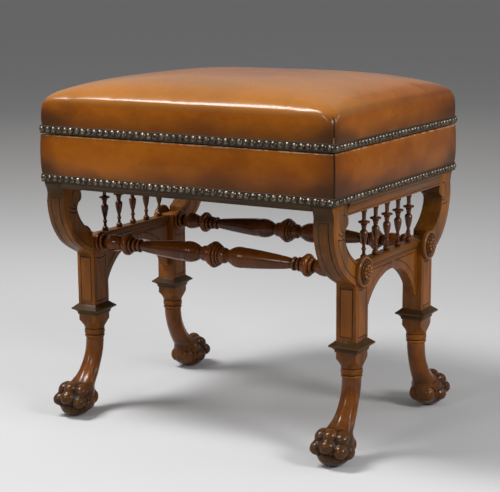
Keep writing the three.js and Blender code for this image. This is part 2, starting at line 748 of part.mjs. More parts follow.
// Paw: places and radii as shares of the paw's half width, half length and height
const pawLumpShares = [
  { at: [0, 0.05, 0.24], size: [0.86, 0.84, 0.27] },
  { at: [0, 0, 0.5], size: [0.78, 0.7, 0.4] },
  { at: [0, -0.6, 0.47], size: [0.74, 0.4, 0.32] },
  { at: [-0.58, 0.22, 0.47], size: [0.42, 0.36, 0.28] },
  { at: [0.58, 0.22, 0.47], size: [0.42, 0.36, 0.28] },
  { at: [-0.3, 0.66, 0.45], size: [0.42, 0.34, 0.28] },
  { at: [0.3, 0.66, 0.45], size: [0.42, 0.34, 0.28] },
  { at: [-0.5, 0.1, 0.76], size: [0.38, 0.3, 0.22] },
  { at: [0.5, 0.1, 0.76], size: [0.38, 0.3, 0.22] },
  { at: [-0.26, 0.44, 0.78], size: [0.38, 0.3, 0.22] },
  { at: [0.26, 0.44, 0.78], size: [0.38, 0.3, 0.22] },
];

function pawLump({ at, size }) {
  const lump = new THREE.SphereGeometry(1, smallSides, smallSides / 2).rotateX(Math.PI / 2);
  lump.scale(pawHalfWidth * size[0], pawHalfLength * size[1], pawHeight * size[2]);
  return lump.translate(pawHalfWidth * at[0], pawCentreY + pawHalfLength * at[1], pawHeight * at[2]);
}

function legGeometry(sideX, sideY) {
  const whole = join([legLoft(), ...pawLumpShares.map(pawLump)]);
  const floor = block([-boxWidth, -boxWidth, -boxWidth], [boxWidth, boxWidth, 0]);
  const socket = bore(stretcherTenonRadius, frameThick / 2 - stretcherTenonLength - gap,
    frameThick / 2 + overrun).rotateY(Math.PI / 2);
  if (sideX * sideY > 0) socket.rotateZ(Math.PI);
  socket.translate(0, postCentreY, stretcherZ);
  const leg = cut(whole, [floor, socket]);
  if (sideY < 0) leg.rotateZ(Math.PI);
  return leg.translate(sideX * frameMiddleX, 0, 0);
}

// Collar: a mitred moulding round the post; rows of [share of overhang, share of height]
const collarRowShares = [[0, 0], [0.48, 0.23], [1, 0.457], [1, 0.657], [0, 1]];

function collarGeometry(sideX, sideY) {
  const [halfX, halfY] = [frameThick / 2 + gap, postDepth / 2 + gap];
  const rings = collarRowShares.map(([reach, rise]) => {
    const out = collarWall + (collarOverhang - collarWall) * reach;
    return legRing(collarBottomZ + collarHeight * rise, 0, halfX + out, halfY + out, 1)
      .filter((_, k) => k % 2 === 1);
  });
  const hole = block([-halfX, -halfY, collarBottomZ - overrun],
    [halfX, halfY, collarBottomZ + collarHeight + overrun]);
  return cut(loft(rings), [hole]).translate(sideX * frameMiddleX, sideY * postCentreY, 0);
}

// Roundel: a turned and carved disc; rows of [share of radius, share of thickness] from the back
const roundelRowShares = [[1, 0], [1, 0.55], [0.93, 0.75], [0.84, 0.55], [0.76, 0.4], [0.66, 0.62],
  [0.56, 0.4], [0.42, 0.75], [0.2, 1]];

function roundelGeometry(sideX, sideY) {
  const rows = roundelRowShares.map(([reach, rise]) => [roundelThick * rise, roundelRadius * reach]);
  const disc = turned(rows, turnSides).rotateY(sideX * (Math.PI / 2));
  return disc.translate(sideX * (frameInnerX + frameThick + gap), sideY * postCentreY, stretcherZ);
}

ends.forEach(([end, sideX]) => {
  addPiece(`${end}_top_rail`, topRailGeometry(sideX), 'walnut');
  addPiece(`${end}_lower_rail`, lowerRailGeometry(sideX), 'walnut');
  addPiece(`${end}_arch_board`, archBoardGeometry(sideX), 'walnut');
  spindlePlaces().forEach((y, k) => {
    addPiece(`${end}_spindle_${k + 1}`, spindleGeometry(sideX * frameMiddleX, y), 'walnut');
  });
  faces.forEach(([face, sideY]) => {
    addPiece(`${face}_${end}_scroll`, scrollGeometry(sideX, sideY), 'walnut');
    addPiece(`${face}_${end}_leg`, legGeometry(sideX, sideY), 'carved');
    addPiece(`${face}_${end}_collar`, collarGeometry(sideX, sideY), 'walnut');
    addPiece(`${face}_${end}_roundel`, roundelGeometry(sideX, sideY), 'walnut');
  });
});

// Stretcher: rows of [share of half length, share of radius] from the middle outwards
const stretcherRowShares = [
  [0, 1], [0.02, 0.9], [0.035, 0.76], [0.055, 0.76], [0.09, 0.52], [0.12, 0.48],
  [0.17, 0.77], [0.23, 0.79], [0.4, 0.64], [0.6, 0.4], [0.62, 0.55], [0.65, 0.42],
  [0.7, 0.55], [0.735, 0.86], [0.76, 0.86], [0.79, 0.4], [0.84, 0.63], [0.9, 0.63],
  [0.94, 0.42], [0.96, 0.8], [1, 0.8],
];

function stretcherGeometry(sideY) {
  const half = frameInnerX - gap;
  const outward = stretcherRowShares.map(([along, reach]) => [half * along, stretcherRadius * reach]);
  const tenon = [[half, stretcherTenonRadius], [half + stretcherTenonLength, stretcherTenonRadius]];
  const rows = [...outward, ...tenon];
  const mirrored = rows.slice(1).reverse().map(([along, reach]) => [-along, reach]);
  return turned([...mirrored, ...rows], turnSides).rotateY(Math.PI / 2)
    .translate(0, sideY * postCentreY, stretcherZ);
}

addPiece('front_stretcher', stretcherGeometry(-1), 'carved');
addPiece('back_stretcher', stretcherGeometry(1), 'carved');

export default stool;
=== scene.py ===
# Revolving piano stool: the looks of each piece, in the order in which the stool is put together.
import math
import random

import bmesh
import bpy
import numpy as np
from mathutils import Matrix, Vector


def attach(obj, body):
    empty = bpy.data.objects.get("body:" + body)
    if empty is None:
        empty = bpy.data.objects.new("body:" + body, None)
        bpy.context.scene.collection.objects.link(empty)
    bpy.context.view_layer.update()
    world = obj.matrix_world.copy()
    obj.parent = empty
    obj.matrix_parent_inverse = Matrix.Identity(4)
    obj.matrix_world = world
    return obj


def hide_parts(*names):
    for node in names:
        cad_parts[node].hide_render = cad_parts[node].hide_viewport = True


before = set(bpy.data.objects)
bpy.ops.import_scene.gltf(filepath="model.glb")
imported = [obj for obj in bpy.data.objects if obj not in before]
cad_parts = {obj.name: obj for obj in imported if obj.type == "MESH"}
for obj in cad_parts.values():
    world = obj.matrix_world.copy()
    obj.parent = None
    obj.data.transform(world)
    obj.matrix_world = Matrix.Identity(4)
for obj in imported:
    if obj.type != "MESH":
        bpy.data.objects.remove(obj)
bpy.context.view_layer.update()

# Leg timbers. Each leg is one length of walnut: a square post above, turned and swept below, carved as a
# paw at the foot. This section shapes the upper part, whose square runs out into the turned capital,
# and cuts the panel lines on three of its faces with a V-tool.
mm = 0.001
ends = {"left": -1, "right": 1}
faces = {"front": 1, "back": -1}
corners = [(face, end, x_way, y_way) for face, y_way in faces.items() for end, x_way in ends.items()]
frame_inner, frame_outer = 218.5, 251.0
frame_middle = (frame_inner + frame_outer) / 2
post_y = 113.1
post_half_x, post_half_y = 16.25, 18.7
post_foot, post_top = 117.0, 287.0
line_lift = 0.15


def alone(piece):
    """Leaves this piece alone selected, because an operator acts on all that is selected."""
    bpy.ops.object.select_all(action="DESELECT")
    piece.select_set(True)
    bpy.context.view_layer.objects.active = piece
    return piece


def modified(piece, kind, **settings):
    """Puts a modifier with these settings on a piece and applies it."""
    alone(piece)
    modifier = piece.modifiers.new(kind.lower(), kind)
    for setting, value in settings.items():
        setattr(modifier, setting, value)
    bpy.ops.object.modifier_apply(modifier=modifier.name)
    return piece


def eased(piece, width, angle=50):
    """Takes off the arrises of a piece where its faces meet at more than an angle."""
    modified(piece, "BEVEL", width=width * mm, segments=2, limit_method="ANGLE",
             angle_limit=math.radians(angle))


def settled():
    """Leaves the place, turn and size of the active piece in its mesh."""
    bpy.ops.object.transform_apply(location=True, rotation=True, scale=True)
    return bpy.context.object


def put(piece, at=(0, 0, 0), turn=(0, 0, 0)):
    """Turns a piece about the origin and moves it."""
    piece.rotation_euler = turn
    piece.location = Vector(at) * mm
    alone(piece)
    return settled()


def opened():
    """Goes into edit mode with all of the piece selected."""
    bpy.ops.object.mode_set(mode="EDIT")
    bpy.ops.mesh.select_all(action="SELECT")


def closed(name):
    """Turns the faces of the piece in edit mode outwards, leaves edit mode and names the piece."""
    bpy.ops.mesh.select_all(action="SELECT")
    bpy.ops.mesh.normals_make_consistent(inside=False)
    bpy.ops.object.mode_set(mode="OBJECT")
    piece = bpy.context.object
    piece.name = piece.data.name = name
    return piece


def grown(name, rows, sides=4):
    """A closed piece pulled up ring by ring: rows of height, half width, half depth and middle y."""
    bpy.ops.object.select_all(action="DESELECT")
    if sides == 4:
        bpy.ops.mesh.primitive_plane_add(size=2, enter_editmode=True)
    else:
        bpy.ops.mesh.primitive_circle_add(vertices=sides, fill_type="NGON", enter_editmode=True)
    last = (0, 1 / mm, 1 / mm, 0)
    for place, row in enumerate(rows):
        height, wide = row[:2]
        deep = row[2] if len(row) > 2 else wide
        middle = row[3] if len(row) > 3 else 0
        move = Vector((0, middle - last[3], height - last[0])) * mm
        if place:
            bpy.ops.mesh.extrude_region_move(TRANSFORM_OT_translate={"value": move})
        else:
            bpy.ops.transform.translate(value=move)
        centre = Vector((0, middle, height)) * mm
        bpy.ops.transform.resize(value=(wide / last[1], deep / last[2], 1), center_override=centre)
        last = (height, wide, deep, middle)
    return closed(name)


def rounded(profile):
    """Rows through a turner's profile of height, radius and how far the run up to there swells out."""
    steps = 5
    rows = [profile[0][:2]]
    for (low, start, *_), (high, end, *swell) in zip(profile, profile[1:]):
        bulge = swell[0] if swell else 0
        count = steps if bulge else 1
        for k in range(1, count + 1):
            share = (1 - math.cos(math.pi * k / count)) / 2
            out = bulge * math.sin(math.pi * k / count)
            rows.append((low + (high - low) * share, start + (end - start) * share + out))
    return rows


def cut_with(piece, cutter, operation="DIFFERENCE"):
    """Cuts a piece with another, which is used up; the walls of the cut keep the cutter's finish."""
    modified(piece, "BOOLEAN", object=cutter, operation=operation, solver="EXACT", material_mode="TRANSFER")
    bpy.data.objects.remove(cutter)
    return piece


def incise(piece, paths, width=2.0):
    """Cuts V-lines along paths of points, closed where a path ends on its first point."""
    tool = bpy.data.curves.new("v_tool", "CURVE")
    tool.dimensions = "3D"
    tool.bevel_depth = width / 2 * mm
    tool.bevel_resolution = 0
    tool.use_fill_caps = True
    for path in paths:
        closed = path[0] == path[-1]
        points = path[:-1] if closed else path
        line = tool.splines.new("POLY")
        line.points.add(len(points) - 1)
        line.use_cyclic_u = closed
        for point, place in zip(line.points, points):
            point.co = (*(Vector(place) * mm), 1)
    cutter = bpy.data.objects.new("v_tool", tool)
    bpy.context.collection.objects.link(cutter)
    alone(cutter)
    bpy.ops.object.convert(target="MESH")
    cutter = bpy.context.object
    covered(cutter, line_wax)
    return cut_with(piece, cutter)


def twin(piece, name, x_way, y_way):
    """A copy with its own mesh on the other side of the middle; a mirrored one is turned right side out."""
    alone(piece)
    bpy.ops.object.duplicate(linked=False)
    copy = bpy.context.object
    copy.name = copy.data.name = name
    opened()
    bpy.ops.transform.resize(value=(x_way, y_way, 1), center_override=(0, 0, 0))
    if x_way * y_way < 0:
        bpy.ops.mesh.flip_normals()
    bpy.ops.object.mode_set(mode="OBJECT")
    return copy


def covered(piece, material):
    """Gives a piece one finish all over."""
    piece.data.materials.clear()
    piece.data.materials.append(material)


def smoothed(piece, angle=35):
    """Shades the curves of a piece smooth and keeps its arrises sharp."""
    alone(piece)
    bpy.ops.object.shade_smooth_by_angle(angle=math.radians(angle))
    return piece


def note_hollows(piece, spread=1, gain=2.2):
    """Stores how deep each vertex lies in a hollow, less than zero on an arris, for polish and wear."""
    mesh = piece.data
    count = len(mesh.vertices)
    place, normal = np.empty(count * 3), np.empty(count * 3)
    mesh.vertices.foreach_get("co", place)
    mesh.vertices.foreach_get("normal", normal)
    place, normal = place.reshape(-1, 3), normal.reshape(-1, 3)
    ends_of = np.empty(len(mesh.edges) * 2, int)
    mesh.edges.foreach_get("vertices", ends_of)
    one, other = ends_of.reshape(-1, 2).T
    span = place[other] - place[one]
    length = np.maximum(np.linalg.norm(span, axis=1), 1e-9)
    rise_one = (span * normal[one]).sum(1) / length
    rise_other = -(span * normal[other]).sum(1) / length
    shared = np.maximum(np.bincount(one, minlength=count) + np.bincount(other, minlength=count), 1)
    hollow = (np.bincount(one, rise_one, count) + np.bincount(other, rise_other, count)) / shared
    for _ in range(spread):
        around = np.bincount(one, hollow[other], count) + np.bincount(other, hollow[one], count)
        hollow = (hollow + around / shared) / 2
    stored = mesh.attributes.new("hollow", "FLOAT", "POINT")
    stored.data.foreach_set("value", np.clip(hollow * gain, -1, 1).astype(np.float32))
    return piece


class Wire:
    """A shader socket; arithmetic on it adds Math nodes to its finish."""

    def __init__(self, finish, socket):
        self.finish, self.socket = finish, socket

    def maths(self, operation, first, second=0):
        return self.finish.node("ShaderNodeMath", {"operation": operation}, {0: first, 1: second})

    def __add__(self, other):
        return self.maths("ADD", self, other)

    def __sub__(self, other):
        return self.maths("SUBTRACT", self, other)

    def __rsub__(self, other):
        return self.maths("SUBTRACT", other, self)

    def __mul__(self, other):
        return self.maths("MULTIPLY", self, other)

    __radd__, __rmul__ = __add__, __mul__

    def most(self, other):
        return self.maths("MAXIMUM", self, other)

    def size(self):
        return self.maths("ABSOLUTE", self)

    def wave(self):
        return self.maths("SINE", self)

    def between(self, low, high, start=0, end=1):
        """Eases from start to end as the value goes from low to high."""
        return self.finish.node("ShaderNodeMapRange", {"interpolation_type": "SMOOTHSTEP"},
                                {"Value": self, "From Min": low, "From Max": high,
                                 "To Min": start, "To Max": end})


class Finish:
    """A material whose colour, gloss and relief are worked out from the place on the piece."""

    def __init__(self, name, **fixed):
        self.material = bpy.data.materials.new(name)
        self.material.use_nodes = True
        self.surface = self.material.node_tree.nodes["Principled BSDF"]
        self.wear(**fixed)
        self.place = self.node("ShaderNodeTexCoord", output="Object")

    def node(self, kind, settings=None, inputs=None, output=0):
        made = self.material.node_tree.nodes.new(kind)
        for setting, value in (settings or {}).items():
            setattr(made, setting, value)
        for socket, value in (inputs or {}).items():
            self.join(value, made.inputs[socket])
        return Wire(self, made.outputs[output])

    def join(self, value, socket):
        if isinstance(value, Wire):
            self.material.node_tree.links.new(value.socket, socket)
        else:
            socket.default_value = (*value, 1) if socket.type == "RGBA" else value

    def wear(self, **sockets):
        for name, value in sockets.items():
            self.join(value, self.surface.inputs[name.replace("_", " ")])

    def grain(self, scale, stretch=(1, 1, 1), detail=4, rough=0.55, shift=0):
        """Noise of so many cells a metre, drawn out along an axis where stretch is under 1."""
        placed = self.node("ShaderNodeMapping", inputs={"Vector": self.place, "Scale": stretch,
                                                        "Location": (shift, shift, shift)})
        return self.node("ShaderNodeTexNoise", inputs={"Vector": placed, "Scale": scale, "Detail": detail,
                                                       "Roughness": rough}, output="Fac")

    def tint(self, share, first, second):
        """The first colour, with a share of the second."""
        return self.node("ShaderNodeMix", {"data_type": "RGBA"}, {0: share, 6: first, 7: second}, output=2)

    def relief(self, height, strength, distance):
        """Bump from a height; the distance is in millimetres."""
        return self.node("ShaderNodeBump", inputs={"Height": height, "Strength": strength,
                                                   "Distance": distance * mm}, output="Normal")

    def hollow(self):
        return self.node("ShaderNodeAttribute", {"attribute_name": "hollow"}, output="Fac")

    def along(self, axis):
        """The place along an axis, in millimetres."""
        return self.node("ShaderNodeSeparateXYZ", inputs={0: self.place}, output="XYZ".index(axis)) * (1 / mm)


def shaded(colour, share):
    """A colour with its light taken down to a share, or up where the share is over 1."""
    return tuple(value * share for value in colour)


def walnut(name, stretch, light, deep, gloss=0.32, coat=0.1, stain=None, worn=0.45):
    """French-polished walnut with its grain drawn out along a piece, dark polish left in the hollows."""
    finish = Finish(name, Coat_Roughness=0.12, Specular_IOR_Level=0.12)
    figure = finish.grain(38, stretch, detail=5, rough=0.6)
    streak = finish.grain(210, stretch, detail=3, shift=3)
    pores = finish.grain(900, stretch, detail=1, shift=7)
    patch = finish.grain(14, detail=2, shift=11)
    shade = figure.between(0.36, 0.64) * 0.45 + streak.between(0.35, 0.68) * 0.25
    shade = shade + patch.between(0.38, 0.62) * 0.35
    wood = finish.tint(shade, deep, light)
    wood = finish.tint(pores.between(0.6, 0.72) * 0.35, wood, shaded(deep, 0.3))
    hollow = finish.hollow()
    polish = hollow.between(0.02, 0.3, coat, 0)
    # The stain mask is real stain on some pieces, and partly painted shade under the box on the scroll heads
    # and top rails.
    if stain:
        stained = stain(finish) * (patch * 0.6 + 0.7)
        wood = finish.tint(stained, wood, (0.03, 0.016, 0.006))
        polish = polish * (1 - stained * 0.75)
    wood = finish.tint(hollow.between(0.04, 0.4) * 0.9, wood, shaded(deep, 0.14))
    wood = finish.tint((0 - hollow).between(0.12, 0.6) * worn, wood, shaded(light, 1.4))
    rough = patch.between(0.3, 0.7) * 0.14 + hollow.between(0.04, 0.5) * 0.25 + gloss
    finish.wear(Base_Color=wood, Roughness=rough, Coat_Weight=polish,
                Normal=finish.relief(pores + streak, 0.25, 0.12))
    return finish.material


def bare(name, colour, rough, metal=0.0):
    """A plain dull surface with slight unevenness of colour and gloss."""
    finish = Finish(name, Metallic=metal)
    mottle = finish.grain(60, detail=6, rough=0.65)
    finish.wear(Base_Color=finish.tint(mottle.between(0.35, 0.65), shaded(colour, 0.45), colour),
                Roughness=mottle * 0.3 + rough, Normal=finish.relief(mottle, 0.3, 0.3))
    return finish.material


line_wax = bare("dark wax in the incised lines", (0.018, 0.008, 0.004), 0.45)
walnut_upright = walnut("walnut, grain upright", (1, 1, 0.1), (0.2, 0.062, 0.005), (0.062, 0.018, 0.002))

capital = [(post_foot, 14.5), (118.2, 14.5), (122, 14.5, 1.6), (122.5, 14.1), (123.6, 14.1), (124.3, 16.1),
           (131.3, 16.1, 0.3), (131.8, 15.4), (132.1, 14), (133.6, 14), (134, 16.2), (135.5, 16.6),
           (147.8, 25.6, -0.9), (149, 26), (post_top + 1, 26)]


def post_timber():
    turned = grown("turning", rounded(capital), sides=48)
    square = grown("post", [(post_foot - 2, post_half_x, post_half_y), (post_top, post_half_x, post_half_y)])
    cut_with(square, turned, "INTERSECT")
    put(square, at=(frame_middle, -post_y, 0))
    eased(square, 0.7)
    low, high, edge = 181.0, 252.0, 6.5
    arc_middle, arc_radius = 277, 27
    left, right = frame_inner + edge, frame_outer - edge
    front = -post_y - post_half_y - line_lift
    near, far = -post_y - post_half_y + edge, -post_y + post_half_y - edge
    paths = [[(left, front, low), (right, front, low), (right, front, high), (left, front, high),
              (left, front, low)]]
    for x in (frame_inner - line_lift, frame_outer + line_lift):
        arc = [(x, y, arc_middle - math.sqrt(arc_radius ** 2 - (y + post_y) ** 2))
               for y in np.linspace(far, near, 9)]
        paths.append([(x, near, low), (x, far, low), *arc, (x, near, low)])
    incise(square, paths)
    return smoothed(note_hollows(square))


first_post = post_timber()
for face, end, x_way, y_way in corners:
    post = twin(first_post, f"{face}_{end}_post", x_way, y_way)
    post.data.materials[0] = walnut_upright
    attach(post, "base")
    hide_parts(f"{face}_{end}_leg")
bpy.data.objects.remove(first_post)

# Shafts and paws. Below the capital the same walnut sweeps outwards and swells into a carved paw: a toe in
# the middle and one on each side of it, each of two knuckles, with small toes on the flanks, tendons that run
# up into the shaft, a heel, and a pad that stands on the floor.


def lump(at, size, turn=(0, 0, 0)):
    """A rounded form: its middle and its half sizes."""
    bpy.ops.object.select_all(action="DESELECT")
    bpy.ops.mesh.primitive_uv_sphere_add(segments=24, ring_count=12, radius=1, location=Vector(at) * mm,
                                         rotation=turn, scale=Vector(size) * mm)
    return settled()


def joined(parts):
    """One mesh of several."""
    bpy.ops.object.select_all(action="DESELECT")
    for part in parts:
        part.select_set(True)
    bpy.context.view_layer.objects.active = parts[0]
    bpy.ops.object.join()
    return settled()


def shaft_ring(height):
    """The middle y and the radius of the shaft at a height."""
    drop = max(0, 117.3 - height) / 73.3
    return -(post_y + 34.5 * drop ** 2), 14.45 + 3.9 * (max(0, drop - 0.35) / 0.65) ** 1.6


def raise_tendons(shaft):
    """Flares the instep towards the toes, and raises a soft ridge down the shaft to each toe."""
    instep, ridge_high, flare_out = 98, 0.9, 12
    for vertex in shaft.data.vertices:
        x, y, z = vertex.co / mm
        middle = shaft_ring(max(z, 44))[0]
        turn = math.degrees(math.atan2(x, middle - y))
        if z < instep and math.hypot(x, y - middle) > 1:
            growth = math.sin(math.pi / 2 * min(1, (instep - z) / 34))
            side = max(0, min(1, (112 - abs(turn)) / 22))
            ridge = ridge_high * math.cos(math.radians(turn * 8)) * growth * side
            flare = flare_out * min(1, max(0, 69 - z) / 24) ** 2
            flare *= max(0, math.cos(math.radians(turn))) ** 0.8
            vertex.co += Vector((x, y - middle, 0)).normalized() * (ridge + flare) * mm


def paw_and_shaft():
    rows = [(height, shaft_ring(height)[1], shaft_ring(height)[1], shaft_ring(height)[0])
            for height in (*range(44, 118, 2), 118.2)]
    heel = [(height, radius, radius, rows[0][3]) for height, radius in (
        (8, 7), (9.5, 12), (12.5, 16), (16.5, 18.8), (21, 19.9), (26, 19.9), (32, 19), (38, 18.4))]
    shaft = grown("shaft", heel + rows, sides=72)
    raise_tendons(shaft)
    lumps = [shaft]
    for middle, size, dip in (((0, -168, 15), (24, 27, 15.3), 0), ((0, -168, 29), (26, 27.5, 18), 0),
                              ((0, -168, 39), (19, 22, 13), 0), ((0, -179.5, 46.6), (10.8, 12.6, 9.4), 0.3),
                              ((0, -187.5, 33.5), (13, 14, 11.2), 0.25)):
        lumps.append(lump(middle, size, (dip, 0, 0)))
    for side in (-1, 1):
        for middle, size, dip, splay in (((16, -172.5, 42.6), (10.8, 14, 10.2), 0.42, 0.3),
                                         ((18.4, -182, 27.5), (11.2, 14, 11), 0.25, 0.35),
                                         ((22, -164, 20.5), (9, 13, 10.5), 0.1, 0.1),
                                         ((13.5, -156, 35), (11.4, 17, 13.5), 0.35, 0.15),
                                         ((10.8, -139.8, 24), (10.8, 11, 12.5), 0, 0)):
            lumps.append(lump((middle[0] * side, *middle[1:]), size, (dip, 0, splay * side)))
    paw = joined(lumps)
    modified(paw, "REMESH", mode="VOXEL", voxel_size=1.1 * mm)
    modified(paw, "SMOOTH", factor=0.5, iterations=18)
    opened()
    bpy.ops.mesh.bisect(plane_co=(0, 0, 0.0006), plane_no=(0, 0, -1), use_fill=True, clear_outer=True)
    bpy.ops.transform.translate(value=(0, 0, -0.0005))
    bpy.ops.object.mode_set(mode="OBJECT")
    put(paw, at=(frame_middle, 0, 0))
    alone(paw)
    bpy.ops.object.shade_smooth()
    return note_hollows(paw, spread=4, gain=8)


def paw_stain(finish):
    """Dark on the toes and clear by the top of the instep."""
    mottle = finish.grain(150, detail=2, shift=5).between(0.38, 0.62, 0.72, 1.1)
    toes = finish.along("Y").size().between(142, 172, 0.5, 0.9) * mottle
    return finish.along("Z").between(44, 74) * (0.05 - toes) + toes


carved = walnut("walnut, carved", (1, 1, 0.2), (0.19, 0.055, 0.005), (0.062, 0.016, 0.002), gloss=0.2,
                coat=0.34, stain=paw_stain, worn=0.15)
first_paw = paw_and_shaft()
for face, end, x_way, y_way in corners:
    paw = twin(first_paw, f"{face}_{end}_paw", x_way, y_way)
    covered(paw, carved)
    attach(paw, "base")
    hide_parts(f"{face}_{end}_leg")
bpy.data.objects.remove(first_paw)

# Collars. A dark-stained moulding of walnut is mitred and planted round each post above its capital: a slope,
# a fillet and a cove.
collar_rows = rounded([(157, 1.4), (158.8, 1.8), (165.4, 7.2, -1.5), (165.7, 8.5), (168.2, 8.7),
                       (173.9, 1.6, -0.3), (174.5, 1.2)])
first_collar = grown("collar", [(z, post_half_x + out, post_half_y + out) for z, out in collar_rows])
cut_with(first_collar, grown("hole", [(z, post_half_x + 0.1, post_half_y + 0.1) for z in (150, 180)]))
put(first_collar, at=(frame_middle, -post_y, 0))
eased(first_collar, 0.25, 40)
smoothed(note_hollows(first_collar))
planted = walnut("walnut, planted mouldings", (0.5, 0.5, 1), (0.09, 0.038, 0.008), (0.035, 0.014, 0.003),
                 stain=lambda finish: finish.grain(30, shift=2).between(0.3, 0.65, 0.25, 0.75))
for face, end, x_way, y_way in corners:
    collar = twin(first_collar, f"{face}_{end}_collar_moulding", x_way, y_way)
    covered(collar, planted)
    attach(collar, "base")
    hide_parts(f"{face}_{end}_collar")
bpy.data.objects.remove(first_collar)

# C-scrolls. Each is sawn from a walnut board as thick as the post and glued between the post and the box.
# Both its cheeks are cut with an eye and a panel line, and its front with a panel of two running lines.
frame_top = 383.7


def flowing(points, steps=4):
    """A smooth run of points through the ones given."""
    run = []
    for k in range(len(points) - 1):
        before, start = points[max(k - 1, 0)], points[k]
        end, after = points[k + 1], points[min(k + 2, len(points) - 1)]
        for t in np.arange(steps) / steps:
            run.append(tuple(0.5 * (2 * b + (c - a) * t + (2 * a - 5 * b + 4 * c - d) * t ** 2
                                    + (3 * b - a - 3 * c + d) * t ** 3)
                             for a, b, c, d in zip(before, start, end, after)))
    return run + [tuple(points[-1])]


def sawn(name, outline, low, high, axis="X"):
    """A board sawn to an outline and as thick as low to high along an axis."""
    bpy.ops.object.select_all(action="DESELECT")
    bpy.ops.mesh.primitive_circle_add(vertices=len(outline), fill_type="NGON")
    board = bpy.context.object
    for vertex, (across, height) in zip(board.data.vertices, outline):
        vertex.co = Vector((low, across, height) if axis == "X" else (across, low, height)) * mm
    opened()
    push = Vector((high - low, 0, 0) if axis == "X" else (0, high - low, 0)) * mm
    bpy.ops.mesh.extrude_region_move(TRANSFORM_OT_translate={"value": push})
    return closed(name)


scroll_front = flowing([(131.9, 259.0), (138.2, 262.4), (155.5, 271.8), (172.8, 284.2), (185, 298.5),
                        (194.5, 315), (200.3, 333), (202.6, 346), (203, 354)])
scroll_front += flowing([(202.4, 358), (201.4, 364), (202.2, 370), (204.8, 376.5), (207.2, 380.8)], 3)
scroll_back = flowing([(160.4, 366.4), (157.4, 360), (158.6, 352), (165.5, 347), (168.4, 341), (167.5, 333),
                       (161.5, 321), (153, 311), (143, 302.5), (131.9, 295.5)])
outline = [(-y, z) for y, z in [*scroll_front, (207.2, frame_top), (160.4, frame_top), *scroll_back]]
first_scroll = sawn("scroll", outline, frame_inner, frame_outer)
eased(first_scroll, 0.6)


def head_stain(finish):
    """Dark at the head of a scroll and down its edges: partly grime and partly painted shade under the box,
    painted full on the fronts and only a fifth as strong on the cheeks, which stay lighter.
    """
    half_thick = frame_outer - frame_middle
    off_middle = (finish.along("X").size() - frame_middle).size()
    shaded_front_share = off_middle.between(half_thick - 0.6, half_thick - 0.2, 1, 0.2)
    # Painted shade: the darkening under the box is full on the fronts and a fifth as strong on the lit
    # cheeks.
    return finish.along("Z").between(304, 374, 0.2, 0.88) * shaded_front_share


walnut_head = walnut("walnut, grain upright, dark at the head", (1, 1, 0.1), (0.25, 0.083, 0.008),
                     (0.08, 0.025, 0.003), stain=head_stain)
eye = [(-172.4 - 9.2 * math.sin(turn), 356 + 12.6 * math.cos(turn))
       for turn in np.linspace(0, 2 * math.pi, 25)]
eye[-1] = eye[0]
brow = flowing([(-165.6, 343.5), (-171, 340), (-178, 339), (-184.5, 341.5), (-188.5, 345)], 3)
panel = flowing([(-134, 270.5), (-150, 279.5), (-164.5, 291.5), (-176, 306), (-184.5, 321.5), (-189.8, 336)])
panel += flowing([(-186, 334.5), (-180, 333.2), (-173.5, 333.8), (-168.2, 331.5)], 3)
panel += flowing([(-166.2, 326), (-160.5, 315.5), (-152.5, 305.5), (-143, 297), (-134, 291)])
cheeks = [[(x, y, z) for y, z in path] for x in (frame_inner - line_lift, frame_outer + line_lift)
          for path in (eye, brow, panel)]
panel_edge = 8.4
left_line, right_line = frame_inner + panel_edge, frame_outer - panel_edge
run = [(-y - 0.1, z) for y, z in scroll_front if 266 < z < 361]
front_panel = [(left_line, y, z) for y, z in run] + [(right_line, y, z) for y, z in reversed(run)]
incise(first_scroll, [*cheeks, [*front_panel, front_panel[0]]])
smoothed(first_scroll, 28)
for face, end, x_way, y_way in corners:
    scroll = twin(first_scroll, f"{face}_{end}_c_scroll", x_way, y_way)
    scroll.data.materials[0] = walnut_head
    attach(scroll, "base")
    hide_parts(f"{face}_{end}_scroll")
bpy.data.objects.remove(first_scroll)

# Rails and arch boards of the end frames, all of walnut and glued. The top rail is coved and lined like the
# scroll heads that it stands between; the lower rail and the arched board under it are thinner and stand back
# from the posts.
top_rail_foot, top_rail_half = 365.2, 160.2
cove = rounded([(top_rail_foot, 0), (369.8, 0), (370.3, 0.6), (382, 4.2, -1.4), (frame_top, 4.4)])
profile = [(frame_inner, top_rail_foot), (frame_outer, top_rail_foot)]
profile += [(frame_outer + out, z) for z, out in cove[1:]] + [(frame_inner, frame_top)]


def rail_darkening(finish):
    """Dark along the head of the top rail, partly grime and partly painted shade under the box, and over the
    whole of the lower one.
    """
    up = finish.along("Z")
    # Painted shade: part of the darkening at the head of the top rail stands for the shade under the box.
    return up.between(373, 381, 0.1, 0.7).most(up.between(290, 340, 0.42, 0.1))


walnut_cross = walnut("walnut, grain front to back", (1, 0.1, 1), (0.17, 0.056, 0.007),
                      (0.06, 0.018, 0.003), stain=rail_darkening)
top_rail = sawn("top_rail", profile, -top_rail_half, top_rail_half, axis="Y")
eased(top_rail, 0.4)
incise(top_rail, [[(frame_outer + line_lift, y, 368) for y in (-162, 162)]], width=1.5)
smoothed(note_hollows(top_rail), 28)
infill_inner, infill_outer, infill_half = frame_middle - 8.25, frame_middle + 8.25, 94.1
outline = [(infill_inner, 274), (infill_outer, 274), (infill_outer + 1.6, 276.5), (infill_outer + 1.6, 285.6),
           (infill_outer + 0.6, 287), (infill_inner - 0.6, 287), (infill_inner - 1.6, 285.6),
           (infill_inner - 1.6, 276.5)]
lower_rail = sawn("lower_rail", outline, -infill_half, infill_half, axis="Y")
eased(lower_rail, 0.4, 20)
incise(lower_rail, [[(x, y, 278) for y in (-96, 96)] for x in (infill_inner - 1.7, infill_outer + 1.7)],
       width=1.6)
smoothed(note_hollows(lower_rail), 28)
